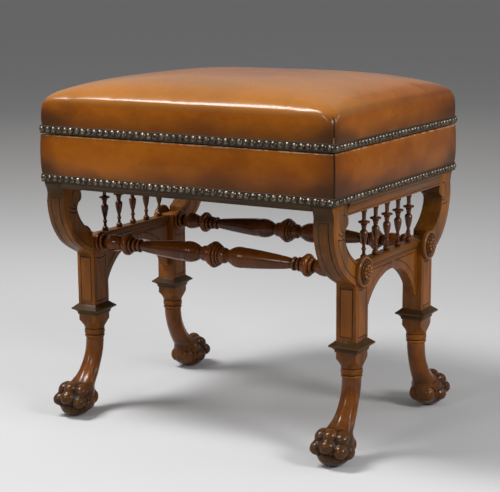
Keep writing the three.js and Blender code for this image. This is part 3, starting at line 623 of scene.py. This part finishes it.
arch_radius, arch_centre, spring, line_radius = 93.4, 166, 0.361, 104.5
arch = [(arch_radius * math.cos(turn), arch_centre + arch_radius * math.sin(turn))
        for turn in np.linspace(math.pi - spring, spring, 49)]
board = sawn("arch_board", [(infill_half, 199), (infill_half, 273.7), (-infill_half, 273.7),
                            (-infill_half, 199), *arch], infill_inner, infill_outer)
eased(board, 0.5)
arcs, straights = [], []
for x in (infill_inner - line_lift, infill_outer + line_lift):
    for way in (-1, 1):
        arcs.append([(x, way * line_radius * math.cos(turn), arch_centre + line_radius * math.sin(turn))
                     for turn in np.linspace(1.4, 0.56, 20)])
        straights.append([(x, way * 15, 269.6), (x, way * 88.6, 269.6), (x, way * 88.6, 221)])
incise(board, arcs, width=1.7)
incise(board, straights, width=1.7)
smoothed(note_hollows(board), 28)
for end, x_way in ends.items():
    for first, name, node in ((top_rail, "coved_rail", "top_rail"),
                              (lower_rail, "spindle_rail", "lower_rail"),
                              (board, "arched_board", "arch_board")):
        piece = twin(first, f"{end}_{name}", x_way, 1)
        piece.data.materials[0] = walnut_upright if first is board else walnut_cross
        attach(piece, "base")
        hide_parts(f"{end}_{node}")
for first in (top_rail, lower_rail, board):
    bpy.data.objects.remove(first)

# Spindles. Five of walnut at each end, turned, with their pins glued into the rails: a foot, a slim neck, a
# vase, and a thin disc under the top.
spindle_foot, spindle_reach = 287.0, 77.2
spindle = grown("spindle", rounded([
    (-4, 2.8), (0.1, 2.8), (0.2, 4.2), (1, 4.8), (6, 4.3, 0.6), (7.4, 2.7), (12, 2.4), (13.4, 2.6),
    (17.4, 2.6, 1.0), (18.8, 2.5), (22, 2.5), (39, 5.9, 0.7), (44, 3.1, 0.9), (45, 3.0), (46, 3.7),
    (51, 4.7, -0.5), (53.2, 4.6), (53.8, 8.0), (54.4, 8.5), (56, 8.5, 0.3), (56.6, 7.9), (57, 4.3),
    (60, 3, -0.4), (69, 3.3), (71, 4.2, 0.3), (77.9, 4.2, 0.5), (78, 2.8), (82, 2.8)]), sides=20)
put(spindle, at=(frame_middle, 0, spindle_foot))
smoothed(note_hollows(spindle), 40)
turnery = walnut("walnut, turned", (1, 1, 0.2), (0.1, 0.027, 0.003), (0.03, 0.008, 0.001), gloss=0.15,
                 coat=0.3)
for end, x_way in ends.items():
    for place, y in enumerate(np.linspace(-spindle_reach, spindle_reach, 5)):
        copy = twin(spindle, f"{end}_baluster_{place + 1}", x_way, 1)
        put(copy, at=(0, y, 0))
        covered(copy, turnery)
        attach(copy, "base")
        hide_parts(f"{end}_spindle_{place + 1}")
bpy.data.objects.remove(spindle)

# Roundels. A patera of walnut, turned on the face and carved with a flower, is planted on the outside of each
# post, over the joint of the stretcher.
joint_z = 277.0


def bead(base, middle, half, high):
    """Rows over a half-round ring of a face turning: its foot, its radius, half its width and its height."""
    return [(base + high * math.sin(turn), middle + half * math.cos(turn))
            for turn in np.linspace(0, math.pi, 9)]


def dish_stain(finish):
    """Dark in the dish between the flower and the rim."""
    across, up = finish.along("Y").size() - post_y, finish.along("Z") - joint_z
    away = across * across + up * up
    return away.between(110, 170) * away.between(300, 350, 1, 0) * 0.6


turned_face = walnut("walnut, turned on the face", (1, 1, 0.3), (0.17, 0.054, 0.007),
                     (0.056, 0.017, 0.003), gloss=0.18, coat=0.35, stain=dish_stain)
disc = grown("roundel", [(0, 22.5), (0.4, 22.9), *bead(3.2, 20.6, 2.4, 3), (2.2, 18), (2.4, 17.4),
                         (4.4, 17.2), *bead(4.4, 16.2, 1, 1.1), (4.4, 14.9), (6.4, 14.6),
                         *bead(6.4, 13.6, 1, 1.1), (6.4, 12.2), (6.4, 0.4)], sides=64)
petals = [lump((0, 0, 6.2), (9.4, 9.4, 6)), lump((0, 0, 11.2), (2.9, 2.9, 3.2))]
for count, ring, high, size in ((10, 9, 7.4, (3.2, 3.2, 4.2)), (5, 4.4, 9.9, (3, 3, 3.7))):
    for turn in np.arange(count) * 2 * math.pi / count + 0.3:
        petals.append(lump((ring * math.cos(turn), ring * math.sin(turn), high), size))
flower = joined(petals)
modified(disc, "BOOLEAN", object=flower, operation="UNION", solver="EXACT", use_self=True)
bpy.data.objects.remove(flower)
put(disc, turn=(0, math.pi / 2, 0))
put(disc, at=(frame_outer + 0.3, -post_y, joint_z))
smoothed(note_hollows(disc, spread=2, gain=3), 40)
for face, end, x_way, y_way in corners:
    patera = twin(disc, f"{face}_{end}_patera", x_way, y_way)
    covered(patera, turned_face)
    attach(patera, "base")
    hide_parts(f"{face}_{end}_roundel")
bpy.data.objects.remove(disc)

# Stretchers. Two long turnings of walnut, their pins glued into the posts, tie the end frames together at the
# height of the roundels. Each is turned alike from its middle to both its ends.
half = rounded([
    (0, 20), (2.8, 18.9, 0.7), (3.2, 16.6), (7.6, 16.2, 1.3), (8.2, 14.2), (11, 13.9, 0.9), (11.8, 12.4),
    (20, 11.6, 0.2), (21, 10.2), (23, 9.5), (26, 9.5), (27, 10.2), (28.4, 10.4), (42, 15.6, 1.2),
    (52, 15.4, 0.6), (134, 7.9, 1.2), (136.6, 7.8), (137.2, 9.2), (141.4, 9.4, 1.4), (142, 8.6), (145, 8.6),
    (145.6, 9.6), (150, 9.8, 1.0), (150.8, 8.8), (153, 11.2), (157, 11.6, 1.5), (157.4, 13.2),
    (166.6, 13.2, 4.3), (167, 11.8), (171, 11.2, 0.8), (172, 7.4), (173.6, 7), (174.6, 8.4),
    (190, 13.2, 1.4), (203.6, 8.6, 1.8), (205, 7.9), (206.8, 7.9), (207.2, 12.6), (211.4, 12.8, 1.3),
    (211.8, 11.4), (213, 11.4), (213.4, 15.4), (218.2, 15.4, 1.1)])
rows = [(-height, radius) for height, radius in reversed(half[1:])] + half
bar = grown("stretcher", [(-218.3, 7), *rows, (218.3, 7)], sides=40)
put(bar, turn=(0, math.pi / 2, 0))
put(bar, at=(0, -post_y, joint_z))
smoothed(note_hollows(bar, gain=3), 40)
turned_long = walnut("walnut, turned with its grain across", (0.12, 1, 1), (0.14, 0.036, 0.003),
                     (0.045, 0.011, 0.001), gloss=0.16, coat=0.3)
for face, y_way in faces.items():
    stretcher = twin(bar, f"{face}_turned_stretcher", 1, y_way)
    covered(stretcher, turned_long)
    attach(stretcher, "base")
    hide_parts(f"{face}_stretcher")
bpy.data.objects.remove(bar)

# Mouldings. A strip of walnut is glued under the front and the back of the box, between the heads of the
# scrolls, and coved like them.
strip_foot, strip_front, strip_back, strip_half = 375.5, -206, -190, 218.2
lip = rounded([(strip_foot, 0), (377.6, 0), (378, 0.4), (382.6, 2.4, -0.7), (frame_top, 2.6)])
profile = [(strip_back, strip_foot), (strip_front, strip_foot)]
profile += [(strip_front - out, z) for z, out in lip[1:]] + [(strip_back, frame_top)]
moulding = sawn("moulding", profile, -strip_half, strip_half)
eased(moulding, 0.3)
smoothed(note_hollows(moulding), 28)
walnut_long = walnut("walnut, grain across", (0.1, 1, 1), (0.07, 0.034, 0.008), (0.022, 0.011, 0.003))
for face, y_way in faces.items():
    strip = twin(moulding, f"{face}_box_moulding", 1, y_way)
    covered(strip, walnut_long)
    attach(strip, "base")
    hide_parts(f"{face}_moulding")
bpy.data.objects.remove(moulding)

# Carcase. Softwood boards and blocks, glued and screwed together, that the leather of the box and of the seat
# is nailed over. They show only from below and under a raised seat, so they are sawn and never polished.


def deal(name, stretch):
    """Sawn softwood: broad growth rings, darker lines between them, and a coat of dust and age."""
    finish = Finish(name, Specular_IOR_Level=0.25)
    rings = finish.grain(70, stretch, detail=3, rough=0.5)
    lines = finish.grain(320, stretch, detail=2, shift=5)
    dust = finish.grain(18, detail=4, shift=9)
    wood = finish.tint(rings.between(0.38, 0.62), (0.2, 0.11, 0.045), (0.36, 0.23, 0.11))
    wood = finish.tint(lines.between(0.52, 0.7) * 0.4, wood, (0.11, 0.055, 0.022))
    wood = finish.tint(dust.between(0.4, 0.75) * 0.5, wood, (0.09, 0.055, 0.03))
    finish.wear(Base_Color=wood, Roughness=dust * 0.2 + 0.62, Normal=finish.relief(lines + rings, 0.4, 0.3))
    return finish.material


def dressed(nodes, material):
    """Gives solids that are shown as they are their finish."""
    for node in nodes:
        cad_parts[node].material_slots[0].material = material


dressed(("front_rail", "back_rail", "front_cleat", "back_cleat", "seat_board"),
        deal("deal, grain across", (0.06, 1, 1)))
dressed(("left_rail", "right_rail", "bearer_board"), deal("deal, grain front to back", (1, 0.06, 1)))
dressed((f"{face}_{end}_corner_block" for face, end, *_ in corners), deal("deal, grain upright", (1, 1, 0.1)))

# Nut plate and seat plate. Both are cast iron with a boss, blacked, and held by wood screws. The lifting
# screw, its stop washer and the pin through its tail are turned steel, oiled.
dressed(("nut_plate", "seat_plate"), bare("blacked iron", (0.028, 0.026, 0.025), 0.42, metal=0.7))
dressed(("lifting_screw", "stop_washer", "stop_pin"), bare("oiled steel", (0.42, 0.4, 0.37), 0.24, metal=1.0))

# Leather of the box. One tan hide is stretched round the carcase, its top edge turned in over the rails, and
# antiqued by hand: dark stain is wiped on and left towards the nails, the seams and the corners. The seat has
# the same leather, with painted light along the front of its top: paler and yellower there, standing in for
# the stronger light and sheen that fall on it.
half_width, half_depth = 255.0, 209.0
box_foot, box_top = 384.3, 457.5
hide = 1.6


def leather(name, foot, top, lip=0):
    """Antiqued tan hide, stained from its foot and at the corners, seamed below top, with painted light near
    top at the front and a painted highlight at a lip.
    """
    reach = 30
    finish = Finish(name, Specular_IOR_Level=0.1, Coat_Roughness=0.14)
    cloud = finish.grain(4.5, detail=3, rough=0.5)
    wipe = finish.grain(17, (1, 1, 1.6), detail=5, rough=0.55, shift=4)
    fine = finish.grain(130, detail=3, shift=8)
    share = cloud.between(0.38, 0.62) * 0.55 + wipe.between(0.32, 0.68) * 0.45
    hue = finish.tint(share, (0.165, 0.04, 0.001), (0.27, 0.077, 0.002))
    hue = finish.tint(fine.between(0.45, 0.7) * 0.14, hue, (0.11, 0.03, 0.003))
    up = finish.along("Z")
    across, deep = finish.along("X").size(), finish.along("Y").size()
    near = across.between(178, 257) * deep.between(133, 211)
    corner = across.between(226, 257) * deep.between(180, 211)
    drift = (cloud - 0.5) * 36 + (wipe - 0.5) * 24
    foot_stain = (up + drift - near * 14).between(foot - 6, foot + reach, 1, 0) * (near * 0.24 + 0.66)
    head_stain = (up + drift * 0.4).between(top - 5, top + 3) * (up - top - 6).between(0, 8, 1, 0)
    stain = foot_stain.most(corner * (wipe.between(0.3, 0.7) * 0.4 + 0.36)).most(head_stain * 0.2)
    hue = finish.tint(stain, hue, (0.034, 0.014, 0.005))
    # Painted light: the front of the seat's top and ridge are made paler and yellower, for the stronger light
    # and sheen there.
    painted_front_light = (up - top).between(-4, 10) * finish.along("Y").between(-205, -20, 0.32, 0)
    hue = finish.tint(painted_front_light, hue, (0.42, 0.2, 0.05))
    seam = (across - deep - (half_width - half_depth)).size()
    if lip:
        # Painted highlight: a pale, broken line along the top edge of the box, where that edge catches the
        # light.
        painted_lip_highlight = (up - lip).between(0, 1) * fine.between(0.4, 0.6) * (wipe.between(0.4, 0.6) * 0.45 + 0.3)
        hue = finish.tint(painted_lip_highlight, hue, (0.44, 0.26, 0.12))
    line = seam.between(1.2, 2.4, 1, 0) * (up - top).between(-3, 3, 1, 0) * corner.between(0.5, 0.9)
    hue = finish.tint(line * 0.95, hue, (0.012, 0.006, 0.004))
    pebble = finish.node("ShaderNodeTexVoronoi", {"feature": "DISTANCE_TO_EDGE"},
                         {"Vector": finish.place, "Scale": 520}, output="Distance")
    height = pebble.between(0, 0.3) * 0.3 + fine * 0.7 - line
    finish.wear(Base_Color=hue, Roughness=wipe * 0.14 + stain * 0.12 + 0.2, Coat_Weight=stain * -0.22 + 0.31,
                Normal=finish.relief(height, 0.12, 0.12))
    return finish.material


def editing(kind, wanted):
    """In edit mode, leaves selected the faces or edges whose middle and normal or run pass a test."""
    bpy.ops.mesh.select_mode(type=kind)
    bpy.ops.mesh.select_all(action="DESELECT")
    mesh = bmesh.from_edit_mesh(bpy.context.object.data)
    for part in mesh.faces if kind == "FACE" else mesh.edges:
        if kind == "FACE":
            chosen = wanted(part.calc_center_median(), part.normal)
        else:
            low, high = (vertex.co for vertex in part.verts)
            chosen = wanted((low + high) / 2, high - low)
        part.select_set(bool(chosen))
    mesh.select_flush_mode()
    bmesh.update_edit_mesh(bpy.context.object.data)


def wrapped(name, rows, corner):
    """A band of leather or braid round the box: rows from its foot up the outside and down the inside."""
    same = 1e-6
    rows = [*rows, rows[0]]
    grown(name, [(z, half_width + out, half_depth + out) for z, out in rows])
    bpy.ops.object.mode_set(mode="EDIT")
    low = rows[0][0] * mm
    editing("FACE", lambda middle, normal: abs(normal.z) > 0.9 and abs(middle.z - low) < same
            and abs(middle.x) < 1e-4 and abs(middle.y) < 1e-4)
    bpy.ops.mesh.delete(type="ONLY_FACE")
    bpy.ops.mesh.select_all(action="SELECT")
    bpy.ops.mesh.remove_doubles(threshold=same)
    editing("EDGE", lambda middle, run: min(abs(run.x), abs(run.y)) > same or abs(run.z) > same)
    bpy.ops.mesh.bevel(offset=corner * mm, segments=4, affect="EDGES")
    return closed(name)


# The second number is how far below the top of the box the painted highlight along its edge begins.
turned_in, lip_highlight_depth = 12, 2.4
cover = wrapped("box_hide", [
    (box_foot, -hide), (box_foot, 0), (box_foot + 12.5, 0.1), (403, 0.8), (414, 1.3), (428, 1.4), (442, 1.1),
    (450, 0.7), (453, 0.4), (455, 0.5), (456.4, 0.5), (457.2, 0), (box_top, -0.8), (box_top, -3),
    (box_top, -turned_in), (box_top - hide, -turned_in), (box_top - hide, -3.2), (454.5, -1.5), (450, -1.2),
    (428, -0.4), (403, -0.9), (box_foot + 4, -hide)], 3.2)
smoothed(cover, 40)
covered(cover, leather("antiqued tan hide, box", box_foot + 12, box_top + 4, lip=box_top - lip_highlight_depth))
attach(cover, "base")
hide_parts("box_leather")

# Strips under the nails. A dark woven braid covers the raw edge of the leather round the box and round the
# seat; the nails go through it.
braid = Finish("dark braid", Specular_IOR_Level=0.3)
round_box, up_box = (braid.along("X") + braid.along("Y")) * 1.9, braid.along("Z") * 1.5
plait = ((round_box + up_box).wave() * (round_box - up_box).wave()).between(-0.7, 0.9)
soil = braid.grain(40, detail=4)
thread = braid.tint(plait * 0.8, (0.012, 0.009, 0.005), (0.06, 0.043, 0.022))
thread = braid.tint(soil.between(0.4, 0.7) * 0.4, thread, (0.03, 0.022, 0.01))
braid.wear(Base_Color=thread, Roughness=soil * 0.2 + 0.5, Normal=braid.relief(plait, 0.8, 0.35))
band_height, band_thick = 12.0, 1.0
seat_foot = 459.5
for name, low, body, node in (("box_braid", box_foot, "base", "box_nail_band"),
                              ("seat_braid", seat_foot, "seat", "seat_nail_band")):
    rows = [(0, 0.25), (0, 0.9), (0.5, 1.25), (1.5, 1.3), (2.2, 1.1), (9.8, 1.1), (10.5, 1.3), (11.5, 1.25),
            (band_height, 0.9), (band_height, 0.25)]
    strip = wrapped(name, [(low + height, out) for height, out in rows], 3.4)
    smoothed(strip, 40)
    covered(strip, braid.material)
    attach(strip, body)
    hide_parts(node)

# Nails. Close-set upholstery nails with domed heads of antiqued brass hold the leather and the braid to the
# carcase. They are driven by hand, so no two sit quite alike.
nail_finish = Finish("antiqued brass nails", Metallic=1.0)
tarnish = nail_finish.grain(260, detail=3)
patch = nail_finish.grain(45, detail=2, shift=5)
brass = nail_finish.tint(tarnish.between(0.35, 0.65), (0.04, 0.031, 0.023), (0.24, 0.185, 0.135))
brass = nail_finish.tint(patch.between(0.4, 0.7) * 0.5, brass, (0.03, 0.024, 0.019))
nail_finish.wear(Base_Color=brass, Roughness=tarnish * 0.16 + 0.28)
nail_radius, nail_height, nail_rise = 4.75, 3.3, 6.2
along_front, along_end = 46, 38


def nail_head():
    """A low dome on a flat base, a few dozen faces, its top along Z."""
    dome = lump((0, 0, 0), (nail_radius, nail_radius, nail_height))
    opened()
    bpy.ops.mesh.bisect(plane_co=(0, 0, 0.2 * mm), plane_no=(0, 0, -1), use_fill=True, clear_outer=True)
    bpy.ops.object.mode_set(mode="OBJECT")
    modified(dome, "DECIMATE", ratio=0.42)
    return dome


hand = random.Random(7)
slip, stray, lean = 0.25, 0.3, 0.06
for name, low, body, node in (("box_nail_row", box_foot, "base", "box_nails"),
                              ("seat_nail_row", seat_foot, "seat", "seat_nails")):
    first, heads = nail_head(), []
    for side in range(4):
        count = along_end if side % 2 else along_front
        reach, out = (half_depth, half_width) if side % 2 else (half_width, half_depth)
        for k in range(count):
            head = first.copy()
            head.data = first.data.copy()
            bpy.context.collection.objects.link(head)
            along = -reach + 2 * reach * (k + 0.5) / count + hand.uniform(-slip, slip)
            lift = low + nail_rise + hand.uniform(-stray, stray)
            turn = side * math.pi / 2
            place = Matrix.Rotation(turn, 3, "Z") @ Vector((along, -(out + band_thick - 0.1), lift))
            head.location = place * mm
            head.rotation_euler = (math.pi / 2 + hand.uniform(-lean, lean), 0,
                                   turn + hand.uniform(-lean, lean))
            heads.append(head)
    bpy.data.objects.remove(first)
    row = joined(heads)
    row.name = row.data.name = name
    smoothed(row, 50)
    covered(row, nail_finish.material)
    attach(row, body)
    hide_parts(node)

# Seat cushion. Horsehair stuffing under one tan hide, crowned in the middle, cut and sewn at its four
# corners, and drawn in at the foot, where the nails hold it to the edge of the seat board.
cushion_edge, crown, shoulder = 514.5, 21.8, 9.0
fullness, corner_radius, ridge_drop = 2.6, 4.5, 11
board_half_x, board_half_y, board_top = 253.1, 207.1, 479.5


def cushion_place(u, v, w):
    """Where a point of a cube of side 2 lies on the cushion."""
    rise = (w + 1) / 2
    swell = fullness * math.sin(math.pi * min(1, max(0, rise - 0.16) / 0.84) ** 0.9 * 0.86)
    half_x, half_y = half_width + swell, half_depth + swell
    flat_x, flat_y = half_x - corner_radius, half_y - corner_radius
    x, y = half_x * u, half_y * v
    over_x, over_y = abs(x) - flat_x, abs(y) - flat_y
    if over_x > 0 and over_y > 0:
        away = max(over_x, over_y) / math.hypot(over_x, over_y)
        x = math.copysign(flat_x + over_x * away, x)
        y = math.copysign(flat_y + over_y * away, y)
    away = math.hypot(half_width * (1 - abs(u)), half_depth * (1 - abs(v)))
    ridge = cushion_edge - 3 * abs(u * v) ** 4 - ridge_drop * math.exp(-(away / 10) ** 2)
    if w < 0.999:
        return Vector((x, y, seat_foot + (ridge - seat_foot) * rise))
    nearest = (abs(u) ** 30 + abs(v) ** 30) ** (1 / 30)
    dome = crown * (1 - abs(u) ** 3.6) * (1 - abs(v) ** 3.6) + shoulder * max(0, 1 - nearest ** 14)
    return Vector((x, y, ridge + dome))


bpy.ops.object.select_all(action="DESELECT")
bpy.ops.mesh.primitive_cube_add(size=2, enter_editmode=True)
bpy.ops.mesh.subdivide(number_cuts=59)
bpy.ops.object.mode_set(mode="OBJECT")
cushion = bpy.context.object
cushion.name = cushion.data.name = "seat_hide"
for vertex in cushion.data.vertices:
    vertex.co = cushion_place(*vertex.co) * mm
modified(cushion, "REMESH", mode="VOXEL", voxel_size=5 * mm)
modified(cushion, "SMOOTH", factor=0.5, iterations=3)
start = [vertex.co.copy() for vertex in cushion.data.vertices]
alone(cushion)
cloth = cushion.modifiers.new("stuffing", "CLOTH")
cloth.settings.use_pressure = True
cloth.settings.uniform_pressure_force = 4
cloth.settings.effector_weights.gravity = 0
for step in range(1, 21):
    bpy.context.scene.frame_set(step)
bpy.ops.object.modifier_apply(modifier="stuffing")
bpy.context.scene.frame_set(1)
most, held = 2.0 * mm, 15 * mm
for vertex, place in zip(cushion.data.vertices, start):
    move = vertex.co - place
    free = min(1, max(0, (place.z - (seat_foot + band_height) * mm) / held))
    vertex.co = place + move * min(1, most / max(move.length, 1e-9)) * free
modified(cushion, "SUBSURF", levels=1, render_levels=1)
seam_depth, seam_width, seam_reach = 1.3, 2.6, 18
for vertex in cushion.data.vertices:
    x, y, z = vertex.co / mm
    off = abs(abs(x) - abs(y) - (half_width - half_depth))
    inward = math.hypot(abs(x) - half_width, abs(y) - half_depth)
    if z > seat_foot + band_height and inward < seam_reach:
        pull = seam_depth * math.exp(-(off / seam_width) ** 2) * (1 - (inward / seam_reach) ** 2) * mm
        vertex.co -= Vector((math.copysign(pull, x), math.copysign(pull, y), 0))
bpy.ops.object.select_all(action="DESELECT")
bpy.ops.mesh.primitive_cube_add(size=2, location=(0, 0, (seat_foot - 20 + board_top) / 2 * mm), scale=(
    (board_half_x + 0.2) * mm, (board_half_y + 0.2) * mm, (board_top - seat_foot + 20.2) / 2 * mm))
cut_with(cushion, settled())
alone(cushion)
bpy.ops.object.shade_smooth()
covered(cushion, leather("antiqued tan hide, seat", seat_foot + band_height, cushion_edge - 8))
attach(cushion, "seat")
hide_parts("seat_cushion")

# Studio. A wide pale floor and soft lights: the key above on the left, one in front, two on the right, and a
# wide dim one high behind, whose reflection is the sheen on the seat. The camera stands a little above the
# seat, in front of the right-hand end.
bpy.ops.object.select_all(action="DESELECT")
bpy.ops.mesh.primitive_plane_add(size=120, location=(0, 0, -0.0004))
floor = bpy.context.object
floor.name = "studio_floor"
pale = Finish("pale studio floor", Roughness=0.9, Specular_IOR_Level=0.1)
pale.wear(Base_Color=pale.tint(pale.grain(3, detail=2) * 0.15, (0.48, 0.48, 0.485), (0.44, 0.44, 0.45)))
floor.data.materials.append(pale.material)

world = bpy.data.worlds.new("studio")
bpy.context.scene.world = world
world.use_nodes = True
air = world.node_tree.nodes["Background"]
air.inputs["Color"].default_value = (1, 1, 1, 1)
air.inputs["Strength"].default_value = 0.26


def lamp(name, place, size, power, aim=0.3, tone=(1, 1, 1)):
    """A soft light of a size and a power, aimed at a height over the middle of the floor."""
    light = bpy.data.lights.new(name, "AREA")
    light.shape = "RECTANGLE"
    light.size, light.size_y = size
    light.energy = power
    light.color = tone
    holder = bpy.data.objects.new(name, light)
    bpy.context.collection.objects.link(holder)
    holder.location = place
    holder.rotation_euler = (Vector((0, 0, aim)) - Vector(place)).to_track_quat("-Z", "Y").to_euler()


lamp("key", (-1.1, -0.8, 2.4), (0.65, 1.1), 80)
lamp("front", (-0.5, -2.6, 1.5), (0.6, 0.6), 14)
lamp("right", (2.3, -0.3, 1.5), (0.7, 0.7), 43)
lamp("back", (-2.1, 2.8, 2.6), (3.6, 3.4), 8.5, aim=0.5, tone=(1, 0.86, 0.64))
lamp("far", (2.25, 1.35, 1.4), (1, 1), 11)

lens = bpy.data.cameras.new("camera")
lens.lens, lens.sensor_width = 100.68, 36
camera = bpy.data.objects.new("camera", lens)
bpy.context.collection.objects.link(camera)
camera.location = (1.12785, -1.87515, 0.70622)
look = (Vector((-0.00582, 0, 0.2698)) - camera.location).to_track_quat("-Z", "Y")
tilt = math.radians(-0.431)
camera.rotation_euler = (look.to_matrix() @ Matrix.Rotation(tilt, 3, "Z")).to_euler()
bpy.context.scene.camera = camera
bpy.context.scene.view_settings.view_transform = "Standard"
